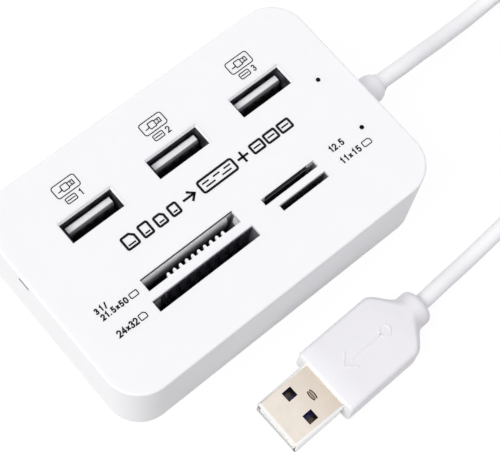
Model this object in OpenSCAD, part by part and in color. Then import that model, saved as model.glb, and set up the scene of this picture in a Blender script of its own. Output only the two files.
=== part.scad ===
// Desktop USB hub with a built-in memory card reader, on a captive lead with its plug.
// Millimetres. The origin is the middle of the housing's footprint on the table.
// X runs along the row of ports towards the lead, Y towards the ports' side, Z up.

/* [Housing] */
// Length of the housing along the row of ports
body_l = 80.6; // [80.2:0.2:82]
// Width of the housing across the card slots
body_w = 52; // [51.6:0.2:53]
// Height of the housing above the table, feet included
body_h = 22; // [21.8:0.1:22.4]
// Radius of the housing's corners, seen from above
corner_r = 8; // [7.6:0.2:8.4]
// Thickness of the side walls and of the top panel
wall = 2; // [1.9:0.1:2.1]
// Rounding of the top edge
edge_r = 0.4; // [0.3:0.1:0.8]
// How much each side leans in from the top edge to the rim
draft = 0.3; // [0.1:0.1:0.4]

/* [Ports] */
// Distance from one port to the next
port_pitch = 22; // [21.6:0.2:22.2]
// Place of the middle port along the housing
port_mid_x = 0.6; // [0:0.1:0.8]
// Distance of the row of ports from the housing's middle line
port_y = 10.6; // [10.4:0.1:10.8]
// Length of a port's opening in the panel
port_l = 13.3; // [13.1:0.1:13.5]
// Width of a port's opening in the panel
port_w = 5.2; // [5.1:0.1:5.4]

/* [Card slots] */
// Length of the opening for full-size cards
full_l = 25.6; // [25.2:0.1:25.8]
// Width of the opening for full-size cards
full_w = 2.7; // [2.5:0.1:2.8]
// Length of the opening for long stick cards
stick_l = 23.4; // [23:0.1:23.8]
// Width of the opening for long stick cards
stick_w = 3; // [2.9:0.1:3.1]
// Length of the opening for short stick cards
short_l = 14; // [13.6:0.1:14.2]
// Width of the opening for short stick cards
short_w = 1.6; // [1.5:0.1:1.7]
// Length of the opening for small cards
small_l = 12.2; // [12:0.1:12.4]
// Width of the opening for small cards
small_w = 1.5; // [1.4:0.1:1.6]
// Number of teeth in the comb along the stick card opening
comb_teeth = 10; // [8:1:11]
// Distance from one tooth to the next
comb_pitch = 1.54; // [1.4:0.01:1.6]
// How far a tooth stands out over the opening
comb_reach = 0.8; // [0.5:0.1:1]

/* [Lead] */
// Diameter of the lead
cord_d = 3.6; // [3.4:0.1:3.8]
// Middle radius of the coil's turns
coil_r = 18; // [17.6:0.1:18.4]
// Distance of the coil's middle from the housing's middle
coil_x = 104; // [103:0.5:106]

/* [Plug] */
// Width of the plug's grip
grip_w = 16; // [15.6:0.1:16.4]
// Thickness of the plug's grip
grip_h = 8; // [7.8:0.1:8.4]
// Length of the metal tube that shows in front of the grip
tube_shows = 13; // [12:0.5:13.5]

/* [Hidden] */
$fn = 48;
eps = 0.01;

// Heights inside the housing
rim_z = 0.5;
plate_top = 2.5;
board_t = 1.6;
board_z = 5;
board_top = board_z + board_t;
panel_z = body_h - wall;

// Thin lip of the panel round each opening, over a pocket that takes the socket's end
lip_t = 1;
pocket_gap = 0.15;
pocket_z = body_h - lip_t;

// The hollow and the ledge that the bottom cover fits in
hollow_l = body_l - 2 * wall;
hollow_w = body_w - 2 * wall;
hollow_r = corner_r - wall;
ledge = 1;
cover_gap = 0.1;

// Screw places
screw_at = [34.6, 20.3];
boss_r = 3;
post_r = 2.6;
screw_r = 1;
screw_hole_r = 1.2;
head_r = 2.1;
head_h = 1.4;
head_seat = 2.3;
screw_tip_z = 11.5;

// Rubber feet
foot_at = [26, 17];
foot_r = 4;
foot_h = 1;

// Indicator holes
led_hole_d = 1;
led_at = [[33.6, 5.1], [33.5, -8.7]];

// Small oblong recess high in the left wall: middle y, middle z, length, height, depth
side_notch = [8.2, 19.4, 3.2, 1, 1.2];

// Card slots: middle x, middle y, length, width
full_slot = [-10.8, -12.4, full_l, full_w];
stick_slot = [-11, -7.6, stick_l, stick_w];
short_slot = [13.8, -8.8, short_l, short_w];
small_slot = [15, -12, small_l, small_w];

// Port socket: a folded metal tube, a moulded insert and four contacts
port_h = pocket_z - 0.1 - board_top;
sock_t = 0.3;
sock_in = [12.5, 5.12];
sock_r = 0.5;
tongue = [11.1, 1.84];
tongue_y = 1;
tongue_end = port_h - 1.5;
insert_base_h = 4.2;
contact_x = [-3.5, -1, 1, 3.5];
contact_w = 1;
contact_t = 0.25;
contact_y = tongue_y - tongue[1] / 2 - 0.05;
leg_y = 1.8;
pin_r = 0.5;

// Card sockets: two moulded blocks with a channel for each kind of card
socket_top = pocket_z - 0.1;
socket_floor = board_top + 1.6;
socket_end = 1.5;
slope_top = 0.8;
slope_end = 6;
strip_t = 0.2;
strip_h = socket_top - board_top - 1.2;
shield_t = 0.25;
shield_wrap = 4;
shield_drop = 0.2;
groove_gap = 0.1;
// Contacts of each card channel: count, pitch, width, depth of groove
stick_set = [comb_teeth, comb_pitch, 0.7, 0.9];
full_set = [9, 2.5, 1.2, 0.9];
short_set = [11, 1.05, 0.5, 0.7];
small_set = [8, 1.1, 0.6, 0.7];

// Lead's way out: a moulded gland in a slot of the right wall
exit_y = -0.2;
exit_z = 11;
gland_seat = body_l / 2 - 0.35;
gland_neck_r = 2.5;
gland_r = 3.3;
gland_round_x = 45.4;
gland_end = 48.3;
flange_r = 4.2;
flange_t = 1.8;
cord_r = cord_d / 2;
cord_sides = 8;
cord_inner_x = 34;

// Coil: two rings of turns in two layers, lifted by the tie that goes under it
tie_t = 0.4;
tie_w_deg = 10;
tail_r = 0.8;
coil_at = [coil_x, -17.5];
coil_z = tie_t;
coil_h = 2 * cord_d;
ring_out = coil_r + cord_r;
stub_x = 89.5;
enter_z = coil_z + cord_r;
leave_z = enter_z + cord_d;

// Plug: place of the middle of the grip's front face, and how far it is turned
plug_at = [-4.2, -42.6];
plug_turn = 1.5;
grip_z = grip_h / 2;
grip_l = 27.4;
grip_edge = 1;
neck_r = 4;
neck_rim = 1.4;
neck_u = 24.4;
shoulder_u = 18.2;
shoulder_bend = 1.06;
tube_in = [11.4, 3.9];
tube_wall = 0.3;
tube_back = 5.7;
carrier_half = 5.25;
cord_pocket = 5;

// Points of the lead on the table side: from inside the housing to the coil
route_out = [
    [cord_inner_x, exit_y, exit_z],
    [42, exit_y, exit_z],
    [gland_end, exit_y, exit_z],
    [51, exit_y, 10.9],
    [55.3, exit_y + 0.1, 10.1],
    [61, 0.4, 8.3],
    [67, 0.9, 6],
    [73, 1.5, 3.9],
    [78.4, 1.9, 2.5],
    [82.6, 2.2, 2],
    [stub_x - 3, coil_at[1] + ring_out, enter_z],
    [stub_x, coil_at[1] + ring_out, enter_z]
];
// Points of the lead from the coil to the plug
route_back = [
    [stub_x, coil_at[1] - ring_out, leave_z],
    [stub_x - 3, coil_at[1] - ring_out, leave_z],
    [81, -37.4, 4.8],
    [74, -37.8, 3.2],
    [66, -38.6, 2],
    [56, -39.4, cord_r],
    [46, -40.2, cord_r],
    [38, -40.8, 2],
    [30, -41.4, 3.4],
    plug_point(grip_l + 1, grip_z),
    plug_point(grip_l - 2, grip_z),
    plug_point(grip_l - cord_pocket, grip_z)
];

// Functions

// A point of the plug's own axis, u along it from the grip's front face
function plug_point(u, z) =
    [plug_at[0] + u * cos(plug_turn), plug_at[1] + u * sin(plug_turn), z];

// A point of the smooth curve through b and c, between its neighbours a and d
function curve_point(a, b, c, d, t) = 0.5 * (2 * b + (c - a) * t
    + (2 * a - 5 * b + 4 * c - d) * t * t + (3 * b - a - 3 * c + d) * t * t * t);

// Smooth curve through the points of a route, n steps to a stretch
function curve(p, n) = let (last = len(p) - 1) concat(
    [for (i = [0 : last - 1], k = [0 : n - 1])
        curve_point(p[max(i - 1, 0)], p[i], p[i + 1], p[min(i + 2, last)], k / n)],
    [p[last]]);

function unit(v) = v / norm(v);

// Way that a route's curve p runs at its point i; its ends run along the route's end stretches
function heading(route, p, i) = let (n = len(route))
    i == 0 ? unit(route[1] - route[0])
    : i == len(p) - 1 ? unit(route[n - 1] - route[n - 2])
    : unit(p[i + 1] - p[i - 1]);

// Corners of one ring of a tube about a point, square to the way d that the curve runs
function ring(at, d, r, sides) = let (
    side = unit(cross(d, [0, 0, 1])),
    up = cross(side, d))
    [for (k = [0 : sides - 1]) let (a = 360 * (k + 0.5) / sides)
        at + r * cos(a) * side + r * sin(a) * up];

// General shapes

// Plan with round corners, about the origin
module round_plan(l, w, r) {
    square([l - 2 * r, w], center = true);
    square([l, w - 2 * r], center = true);
    for (x = [-1, 1], y = [-1, 1])
        translate([x * (l / 2 - r), y * (w / 2 - r)])
            circle(r);
}

// Plate of that plan between two heights
module round_plate(l, w, r, z0, z1) {
    translate([0, 0, z0])
        linear_extrude(z1 - z0)
            round_plan(l, w, r);
}

// Box between two corners
module box(a, b) {
    translate(a)
        cube(b - a);
}

// Profile in the Y-Z plane, drawn out along X about the origin
module along_x(l) {
    rotate([90, 0, 90])
        translate([0, 0, -l / 2])
            linear_extrude(l)
                children();
}

// Tube swept along the smooth curve through a route's points
module swept_tube(route, r, sides) {
    p = curve(route, 2);
    n = len(p);
    polyhedron(
        points = [for (i = [0 : n - 1]) each ring(p[i], heading(route, p, i), r, sides)],
        faces = concat(
            [[for (k = [0 : sides - 1]) k]],
            [for (i = [0 : n - 2], k = [0 : sides - 1])
                [i * sides + k, (i + 1) * sides + k,
                    (i + 1) * sides + (k + 1) % sides, i * sides + (k + 1) % sides]],
            [[for (k = [sides - 1 : -1 : 0]) (n - 1) * sides + k]]),
        convexity = 6);
}

// Four like places, one in each quarter of the plan
module four(at) {
    for (x = [-1, 1], y = [-1, 1])
        translate([x * at[0], y * at[1]])
            children();
}

module at_port(i) {
    translate([port_mid_x + (i - 2) * port_pitch, port_y, board_top])
        children();
}

// Housing

// Solid outer form: leaning sides, soft rim and round top edge
module housing_form() {
    soft = 0.4;
    r = corner_r;
    side = concat(
        [[0, rim_z], [r - draft - soft, rim_z], [r - draft, rim_z + soft]],
        [for (a = [0 : 15 : 90])
            [r - edge_r + edge_r * cos(a), body_h - edge_r + edge_r * sin(a)]],
        [[0, body_h]]);
    hull()
        four([body_l / 2 - r, body_w / 2 - r])
            rotate_extrude($fn = 64)
                polygon(side);
}

module slot_cut(s) {
    translate([s[0], s[1], panel_z - eps])
        linear_extrude(wall + 1)
            square([s[2], s[3]], center = true);
}

// Pocket in the panel's underside for a socket that spans these corners of the plan
module pocket(a, b) {
    box([a[0] - pocket_gap, a[1] - pocket_gap, panel_z - 1],
        [b[0] + pocket_gap, b[1] + pocket_gap, pocket_z]);
}

module socket_pocket(front, back) {
    ends = block_ends(front, back);
    pocket([ends[0] - shield_t, front[1] - front[3] / 2 - socket_end],
        [ends[1] + shield_t, near_face(back) + shield_t]);
}

// One tooth of the comb: a rounded finger with filleted roots
module comb_tooth() {
    w = 0.6;
    root = 0.22;
    linear_extrude(lip_t) {
        translate([-w / 2, -0.4])
            square([w, comb_reach + 0.4 - w / 2]);
        translate([0, comb_reach - w / 2])
            circle(w / 2);
        for (s = [-1, 1])
            difference() {
                translate([s * (w / 2 + root / 2), root / 2 - 0.2])
                    square([root + eps, root + 0.4], center = true);
                translate([s * (w / 2 + root), root])
                    circle(root);
            }
    }
}

module top_cover() color("white") {
    difference() {
        union() {
            difference() {
                housing_form();
                round_plate(hollow_l, hollow_w, hollow_r, -1, panel_z);
                round_plate(hollow_l + 2 * ledge, hollow_w + 2 * ledge, hollow_r + ledge,
                    -1, plate_top);
            }
            four(screw_at)
                translate([0, 0, board_top])
                    cylinder(r = boss_r, h = panel_z - board_top + eps);
        }
        for (i = [-1 : 1])
            translate([port_mid_x + i * port_pitch, port_y]) {
                slot_cut([0, 0, port_l, port_w]);
                pocket(-sock_in / 2 - [sock_t, sock_t], sock_in / 2 + [sock_t, sock_t]);
            }
        for (s = [full_slot, stick_slot, short_slot, small_slot])
            slot_cut(s);
        socket_pocket(full_slot, stick_slot);
        socket_pocket(small_slot, short_slot);
        for (p = led_at)
            translate([p[0], p[1], 0]) {
                cylinder(d = led_hole_d, h = body_h + 1);
                cylinder(d = 2.4, h = body_h - 0.8);
            }
        four(screw_at)
            translate([0, 0, board_top - 1])
                cylinder(r = screw_r, h = 8);
        gland_slot(gland_neck_r);
        translate([-body_l / 2 + side_notch[4], side_notch[0], side_notch[1]])
            rotate([0, -90, 0])
                linear_extrude(side_notch[4] + 1)
                    round_plan(side_notch[3], side_notch[2], side_notch[3] / 2 - eps);
    }
    for (i = [0 : comb_teeth - 1])
        translate([stick_slot[0] + 0.4 + (i - (comb_teeth - 1) / 2) * comb_pitch,
                stick_slot[1] - stick_slot[3] / 2, pocket_z])
            comb_tooth();
}

// Slot that the gland's neck slides up, with the flat that its dome seats on
module gland_slot(r) {
    translate([0, exit_y, exit_z])
        rotate([0, 90, 0])
            cylinder(r = r, h = body_l);
    box([hollow_l / 2 - 1, exit_y - r, -1], [body_l, exit_y + r, exit_z]);
    translate([gland_seat, exit_y, exit_z])
        rotate([0, 90, 0])
            cylinder(r = gland_r + 0.15, h = 2);
}

module bottom_cover() color("white") {
    l = hollow_l + 2 * (ledge - cover_gap);
    w = hollow_w + 2 * (ledge - cover_gap);
    tab = gland_neck_r - cover_gap;
    difference() {
        union() {
            round_plate(l, w, hollow_r + ledge - cover_gap, rim_z, plate_top);
            four(screw_at)
                translate([0, 0, rim_z])
                    cylinder(r = post_r, h = board_z - rim_z);
            box([hollow_l / 2 + cover_gap, exit_y - tab, rim_z],
                [gland_seat, exit_y + tab, exit_z - 0.5]);
            // Stiffening ribs on the inside, under the board
            for (x = [-12, 0, 12])
                box([x - 0.6, -19, plate_top - eps], [x + 0.6, -6, board_z]);
        }
        translate([0, exit_y, exit_z])
            rotate([0, 90, 0])
                cylinder(r = gland_neck_r, h = body_l);
        four(screw_at)
            translate([0, 0, rim_z - 1]) {
                cylinder(r = head_r + 0.3, h = head_seat - rim_z + 1);
                cylinder(r = screw_hole_r, h = board_z + 1);
            }
        four(foot_at)
            cylinder(r = foot_r, h = foot_h);
    }
}

module rubber_feet() color("dimgray") {
    four(foot_at)
        rotate_extrude()
            polygon([[0, 0], [foot_r - 0.5, 0], [foot_r - 0.2, 0.3], [foot_r - 0.2, rim_z],
                [foot_r, rim_z], [foot_r, foot_h], [0, foot_h]]);
}

module cover_screws() color("silver") {
    four(screw_at)
        difference() {
            rotate_extrude()
                polygon([[0, head_seat - head_h], [head_r - 0.6, head_seat - head_h],
                    [head_r, head_seat - head_h + 0.6], [head_r, head_seat],
                    [screw_r, head_seat], [screw_r, screw_tip_z - 0.8],
                    [0, screw_tip_z]]);
            for (a = [0, 90])
                rotate(a)
                    box([-1.2, -0.2, 0], [1.2, 0.2, head_seat - head_h + 0.8]);
        }
}

// Boards and sockets

module main_board() color("darkgreen") {
    difference() {
        round_plate(hollow_l - 0.6, hollow_w - 0.6, hollow_r - 0.3, board_z, board_top);
        four(screw_at)
            cylinder(r = screw_hole_r, h = 10);
        for (i = [1 : 3])
            at_port(i) {
                for (x = contact_x)
                    translate([x, contact_y + contact_t / 2, -3])
                        cylinder(r = pin_r, h = 4);
                for (s = [-1, 1])
                    translate([s * (sock_in[0] + sock_t) / 2, 0, -3])
                        linear_extrude(4)
                            round_plan(0.9, leg_y + 0.6, 0.44);
            }
    }
}

// Spring leaf that stands in a window of the socket's long side
module port_leaf() {
    y = sock_in[1] / 2;
    along_x(1.9)
        polygon([[y, 5.1], [y - 0.4, 8.2], [y - 0.4, 9.4], [y - 0.1, 11],
            [y - 0.1 + sock_t, 11], [y - 0.4 + sock_t, 9.4], [y - 0.4 + sock_t, 8.2],
            [y + sock_t, 5.1]]);
}

module port_shell() color("silver") {
    l = sock_in[0] + 2 * sock_t;
    w = sock_in[1] + 2 * sock_t;
    difference() {
        round_plate(l, w, sock_r + sock_t, 0, port_h);
        round_plate(sock_in[0], sock_in[1], sock_r, -1, port_h + 1);
        for (x = [-3.2, 3.2])
            box([x - 1.4, -w, 5.2], [x + 1.4, w, 11.6]);
        box([-l, -0.8, 6.2], [l, 0.8, 9.4]);
    }
    for (x = [-3.2, 3.2], s = [0, 180])
        rotate(s)
            translate([x, 0, 0])
                port_leaf();
    for (s = [-1, 1])
        translate([s * (sock_in[0] + sock_t) / 2, 0, -0.5])
            cube([sock_t, leg_y, 5.4], center = true);
}

module port_insert() color("white") {
    y0 = tongue_y - tongue[1] / 2;
    y1 = tongue_y + tongue[1] / 2;
    difference() {
        union() {
            round_plate(sock_in[0], sock_in[1], sock_r, 0, insert_base_h);
            along_x(tongue[0])
                polygon([[y0, insert_base_h - 1], [y0, tongue_end - 0.6], [y0 + 0.3, tongue_end],
                    [y1 - 0.2, tongue_end], [y1, tongue_end - 0.3], [y1, insert_base_h - 1]]);
        }
        for (x = contact_x)
            translate([x - contact_w / 2, contact_y, -1])
                cube([contact_w, contact_t, tongue_end - 0.4]);
    }
}

module port_contacts() color("gold") {
    w = contact_w / 2;
    top = tongue_end - 1.8;
    for (x = contact_x)
        translate([x, contact_y + contact_t, 0])
            rotate([90, 0, 0])
                linear_extrude(contact_t)
                    polygon([[-0.3, -3], [0.3, -3], [0.3, 0], [w, 0], [w, top - 0.3],
                        [w - 0.3, top], [0.3 - w, top], [-w, top - 0.3], [-w, 0], [-0.3, 0]]);
}

// Sprung strip of a card channel: foot on the board, straight back and bowed finger.
// It stands against the plane y = 0 and bows towards +Y.
module spring_strip(w, bow) {
    t = strip_t;
    h = strip_h;
    along_x(w)
        polygon([[0, 0], [bow / 2, 0], [bow / 2, t], [t, t], [t, h * 0.4], [bow + t, h * 0.8],
            [bow / 2 + t, h], [bow / 2, h], [bow, h * 0.8], [0, h * 0.4]]);
}

// Row of strips or of their grooves, along a channel's wall at y; s is the side they face
module strip_row(s, set, at_x, wall_y) {
    for (i = [0 : set[0] - 1])
        translate([at_x + (i - (set[0] - 1) / 2) * set[1], wall_y - s * set[3], board_top])
            mirror([0, s < 0 ? 1 : 0, 0])
                children();
}

module strips(s, set, at_x, wall_y) {
    strip_row(s, set, at_x, wall_y)
        spring_strip(set[2], set[3] + 0.3);
}

module grooves(s, set, at_x, wall_y) {
    w = set[2] + groove_gap;
    strip_row(s, set, at_x, wall_y)
        translate([-w / 2, 0, -1])
            cube([w, set[3] + 0.5, strip_h + 4]);
}

// Card channel: slot width at the top, narrowing at both ends to the card's own width
module channel(s, card_l) {
    translate([s[0], s[1] + s[3] / 2 - 0.1, 0])
        rotate([90, 0, 0])
            linear_extrude(s[3] - 0.2)
                polygon([[-card_l / 2, socket_floor], [card_l / 2, socket_floor],
                    [card_l / 2, socket_top - slope_end], [s[2] / 2, socket_top - slope_top],
                    [s[2] / 2, socket_top + 1], [-s[2] / 2, socket_top + 1],
                    [-s[2] / 2, socket_top - slope_top],
                    [-card_l / 2, socket_top - slope_end]]);
}

// Lowest and highest x of the block that holds two channels
function block_ends(front, back) = [
    min(front[0] - front[2] / 2, back[0] - back[2] / 2) - socket_end,
    max(front[0] + front[2] / 2, back[0] + back[2] / 2) + socket_end];

// Wall between two channels: the y of its two faces
function far_face(s) = s[1] - s[3] / 2 + 0.1;
function near_face(s) = s[1] + s[3] / 2 - 0.1;

// Block with two channels. The back of the second channel is closed by the shield.
module card_socket(front, back, front_card, back_card, front_set, back_set) {
    ends = block_ends(front, back);
    difference() {
        box([ends[0], front[1] - front[3] / 2 - socket_end, board_top],
            [ends[1], near_face(back), socket_top]);
        channel(front, front_card);
        translate([0, eps, 0])
            channel(back, back_card);
        grooves(-1, front_set, front[0], near_face(front));
        grooves(1, back_set, back[0], far_face(back));
    }
}

// Folded sheet behind a block: a back with two sprung leaves and two wrapped ends
module socket_shield(front, back) {
    ends = block_ends(front, back);
    y = near_face(back);
    t = shield_t;
    z = socket_top - shield_drop;
    difference() {
        box([ends[0] - t, y, board_top], [ends[1] + t, y + t, z]);
        for (s = [-1, 1])
            translate([back[0] + s * back[2] * 0.3, y, board_top + 5])
                leaf_cut();
    }
    for (x = [ends[0] - t, ends[1]])
        box([x, y - shield_wrap, board_top + 1], [x + t, y + eps, z - 2]);
}

// U-shaped cut that frees a leaf of the sheet, held at its foot
module leaf_cut() {
    leaf = [1.4, 3.4];
    gap = 0.5;
    difference() {
        box([-leaf[0] / 2 - gap, -1, 0], [leaf[0] / 2 + gap, 1, leaf[1] + gap]);
        box([-leaf[0] / 2, -2, -1], [leaf[0] / 2, 2, leaf[1]]);
    }
}

module wide_card_socket() color("#26262a")
    card_socket(full_slot, stick_slot, 24.3, 21.9, full_set, stick_set);

module narrow_card_socket() color("#26262a")
    card_socket(small_slot, short_slot, 11.3, 12.8, small_set, short_set);

module wide_socket_shield() color("silver")
    socket_shield(full_slot, stick_slot);

module narrow_socket_shield() color("silver")
    socket_shield(small_slot, short_slot);

module full_card_contacts() color("gold")
    strips(-1, full_set, full_slot[0], near_face(full_slot));

module stick_card_contacts() color("gold")
    strips(1, stick_set, stick_slot[0], far_face(stick_slot));

module small_card_contacts() color("gold")
    strips(-1, small_set, small_slot[0], near_face(small_slot));

module short_stick_contacts() color("gold")
    strips(1, short_set, short_slot[0], far_face(short_slot));

// Parts on the board

// Bent lead of a chip, from its side down to the board; it points towards +Y
module chip_lead(w) {
    along_x(w)
        polygon([[0, 0.7], [0.3, 0.7], [0.5, 0], [1.1, 0], [1.1, 0.15], [0.65, 0.15],
            [0.45, 0.85], [0, 0.85]]);
}

module chip_body(l, w, h) {
    chamfer = 0.25;
    hull() {
        translate([-l / 2, -w / 2, h / 2])
            cube([l, w, 0.1]);
        translate([-l / 2 + chamfer, -w / 2 + chamfer, 0.15])
            cube([l - 2 * chamfer, w - 2 * chamfer, h - 0.15]);
    }
}

module lead_row(n, pitch, half) {
    for (i = [0 : n - 1])
        translate([(i - (n - 1) / 2) * pitch, half - 0.02, 0])
            chip_lead(0.28);
}

module hub_chip() color("#303034")
    translate([-9, 1.2, board_top]) {
        chip_body(10.2, 5.3, 1.7);
        for (s = [0, 180])
            rotate(s)
                lead_row(14, 0.65, 2.65);
    }

module reader_chip() color("#303034")
    translate([10.5, 1.2, board_top]) {
        chip_body(7, 7, 1.5);
        for (s = [0 : 90 : 270])
            rotate(s)
                lead_row(8, 0.8, 3.5);
    }

module crystal() color("silver")
    translate([23.4, 0.6, board_top]) {
        linear_extrude(0.5)
            round_plan(11.2, 4.7, 2.3);
        linear_extrude(3.5)
            round_plan(10.3, 3.8, 1.89);
    }

module capacitors() color("#2b3352") {
    for (i = [1 : 3])
        translate([port_mid_x + (i - 2) * port_pitch, 18.6, board_top])
            rotate_extrude()
                polygon([[0, 0], [2.3, 0], [2.5, 0.2], [2.5, 0.8], [2.3, 1], [2.5, 1.2],
                    [2.5, 6.8], [2.3, 7], [0, 7]]);
}

module chip_resistors() color("#3a3a3a") {
    for (x = [-17 : 4 : -1])
        translate([x, -4.2, board_top])
            chip_part();
    for (x = [-19 : 5 : 21])
        translate([x, 6.5, board_top])
            chip_part();
}

module chip_part() {
    translate([-0.8, -0.4, 0])
        cube([1.6, 0.8, 0.55]);
}

// Indicator: flat carrier with a low clear dome
module led() {
    translate([-1, -0.62, 0])
        cube([2, 1.25, 0.3]);
    translate([0, 0, 0.3])
        cylinder(r1 = 0.6, r2 = 0.45, h = 0.5);
}

module power_led() color("ivory")
    translate([led_at[0][0], led_at[0][1], board_top])
        led();

module activity_led() color("ivory")
    translate([led_at[1][0], led_at[1][1], board_top])
        led();

// Lead

// Gland: inner flange, neck in the wall's slot, dome outside and a lip round the lead
module strain_relief() color("white") {
    inner_wall = hollow_l / 2;
    dome = [for (a = [0 : 10 : 60]) [gland_r * cos(a), gland_round_x + gland_r * sin(a)]];
    translate([0, exit_y, exit_z])
        rotate([0, 90, 0])
            rotate_extrude()
                polygon(concat(
                    [[cord_r, inner_wall - flange_t], [flange_r - 0.3, inner_wall - flange_t],
                        [flange_r, inner_wall - flange_t + 0.3], [flange_r, inner_wall],
                        [gland_neck_r, inner_wall], [gland_neck_r, gland_seat],
                        [gland_r, gland_seat]],
                    dome,
                    [[cord_r + 0.3, gland_end], [cord_r, gland_end]]));
}

// The lead's four wires, from its cut end to the board
module lead_wires() {
    tints = ["red", "white", "green", "#222222"];
    for (i = [0 : 3]) {
        side = i - 1.5;
        color(tints[i])
            swept_tube([
                [cord_inner_x, exit_y + side * 0.85, exit_z],
                [cord_inner_x - 0.6, exit_y + side * 0.85, exit_z],
                [cord_inner_x - 2, exit_y + side * 1.2, exit_z - 0.8],
                [cord_inner_x - 3.4, exit_y + side * 1.8, exit_z - 2.6],
                [cord_inner_x - 4.6, exit_y + side * 2, board_top + 0.3]], 0.38, 6);
    }
}

module cord_hub_end() color("white")
    swept_tube(route_out, cord_r, cord_sides);

module cord_plug_end() color("white")
    swept_tube(route_back, cord_r, cord_sides);

// Outer shape of the coil, with the lead's first and last straight stretch
module cord_coil() color("white") {
    translate([coil_at[0], coil_at[1], coil_z])
        rotate_extrude()
            translate([coil_r, coil_h / 2])
                round_plan(2 * cord_d, coil_h, cord_r);
    for (p = [[ring_out, enter_z], [-ring_out, leave_z]])
        translate([stub_x, coil_at[1] + p[0], p[1]])
            rotate([0, 90, 0])
                cylinder(r = cord_r - 0.1, h = coil_at[0] - stub_x);
}

// Band round the coil's bundle, with its two ends twisted together on top
module cord_tie() color("white") {
    half = tie_w_deg / 2;
    translate([coil_at[0], coil_at[1], coil_z]) {
        rotate(-half)
            rotate_extrude(angle = tie_w_deg)
                translate([coil_r, coil_h / 2])
                    difference() {
                        round_plan(2 * cord_d + 2 * tie_t, coil_h + 2 * tie_t, cord_r + tie_t);
                        round_plan(2 * cord_d, coil_h, cord_r);
                    }
        // The twisted ends
        rotate(-half - 12)
            translate([coil_r - 0.5, 4.6, coil_h + tail_r])
                rotate([90, 0, 0])
                    cylinder(r = tail_r, h = 11);
    }
}

// Plug

module plug_place() {
    translate([plug_at[0], plug_at[1], 0])
        rotate(plug_turn)
            children();
}

// Stations along the grip: place, half width, half height and corner radius.
// The front edge is softened, the body narrows over its shoulders to a round neck, and the
// neck ends in a rounded rim.
function grip_stations() = let (w = grip_w / 2, h = grip_h / 2, e = grip_edge, n = neck_rim) concat(
    [[0, w - 0.35, h - 0.3, e], [0.35, w, h, e], [shoulder_u, w, h, e]],
    [for (k = [1 : 7]) let (t = k / 7)
        [shoulder_u + (neck_u - shoulder_u) * t,
            neck_r + (w - neck_r) * (1 + cos(180 * pow(t, shoulder_bend))) / 2,
            h, e + (h - e) * t]],
    [for (a = [0 : 22.5 : 67.5])
        [grip_l - n + n * sin(a), neck_r - n + n * cos(a), h - n + n * cos(a), h]]);

// Corners of one section of the grip: a rectangle with four rounded corners
function grip_ring(s) = let (r = min(s[3], min(s[1], s[2]) - 0.05))
    [for (q = [0 : 3], k = [0 : 4])
        let (a = 90 * q + 22.5 * k,
            y = (q == 0 || q == 3 ? 1 : -1) * (s[1] - r),
            z = (q < 2 ? 1 : -1) * (s[2] - r))
        [s[0], y + r * cos(a), grip_z + z + r * sin(a)]];

// Solid through rings of corners, closed at both ends
module lofted(rings) {
    n = len(rings);
    m = len(rings[0]);
    polyhedron(
        points = [for (r = rings) each r],
        faces = concat(
            [[for (k = [m - 1 : -1 : 0]) k]],
            [for (i = [0 : n - 2], k = [0 : m - 1])
                [i * m + k, i * m + (k + 1) % m, (i + 1) * m + (k + 1) % m, (i + 1) * m + k]],
            [[for (k = [0 : m - 1]) (n - 1) * m + k]]),
        convexity = 4);
}

// Pointer raised on the grip's top face, towards the metal end
module grip_pointer() {
    translate([0, 0, grip_h - 0.2])
        linear_extrude(0.35) {
            polygon([[4.4, 0], [7.2, 2.2], [7.2, 1.5], [5.6, 0], [7.2, -1.5], [7.2, -2.2]]);
            translate([7.4, -0.3])
                square([8.4, 0.6]);
            difference() {
                translate([16.6, 0])
                    circle(1.5);
                translate([16.6, 0])
                    circle(0.95);
            }
        }
}

module plug_grip() color("white")
    plug_place() {
        difference() {
            lofted([for (s = grip_stations()) grip_ring(s)]);
            translate([-1, 0, grip_z])
                rotate([90, 0, 90])
                    linear_extrude(tube_back + 1)
                        round_plan(tube_in[0] + 2 * tube_wall, tube_in[1] + 2 * tube_wall, 0.7);
            translate([grip_l - cord_pocket, 0, grip_z])
                rotate([0, 90, 0])
                    cylinder(r = cord_r, h = cord_pocket + 1);
        }
        grip_pointer();
    }

module plug_tube() color("#e0d6ca")
    plug_place()
        difference() {
            translate([-tube_shows, 0, grip_z])
                rotate([90, 0, 90])
                    linear_extrude(tube_shows + tube_back)
                        difference() {
                            round_plan(tube_in[0] + 2 * tube_wall, tube_in[1] + 2 * tube_wall, 0.7);
                            round_plan(tube_in[0], tube_in[1], 0.4);
                        }
            // Square holes on both broad sides
            for (y = [-3.1, 3.1])
                box([-7.9, y - 1.15, -1], [-5.6, y + 1.15, grip_h + 1]);
            translate([-3.4, 0, grip_z])
                linear_extrude(grip_h)
                    bridge_slits();
        }

// Two curved slits that free the stamped bridge, which holds the insert
module bridge_slits() {
    r = 2.6;
    slit = 0.22;
    span = 2.4;
    centre = r - 0.45;
    for (s = [-1, 1])
        intersection() {
            translate([-s * centre, 0])
                difference() {
                    circle(r + slit);
                    circle(r);
                }
            translate([s * r / 2, 0])
                square([r, span], center = true);
        }
}

// Moulded insert: contact carrier along the lower side and a block that fills the root
module plug_insert() color("#14141f")
    plug_place()
        difference() {
            union() {
                box([-tube_shows + 0.6, -carrier_half, grip_z - tube_in[1] / 2],
                    [eps, carrier_half, grip_z - tube_in[1] / 2 + 1.9]);
                translate([0, 0, grip_z])
                    rotate([90, 0, 90])
                        linear_extrude(tube_back)
                            round_plan(tube_in[0], tube_in[1], 0.4);
            }
            for (i = [0 : 3])
                plug_contact(i);
        }

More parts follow.
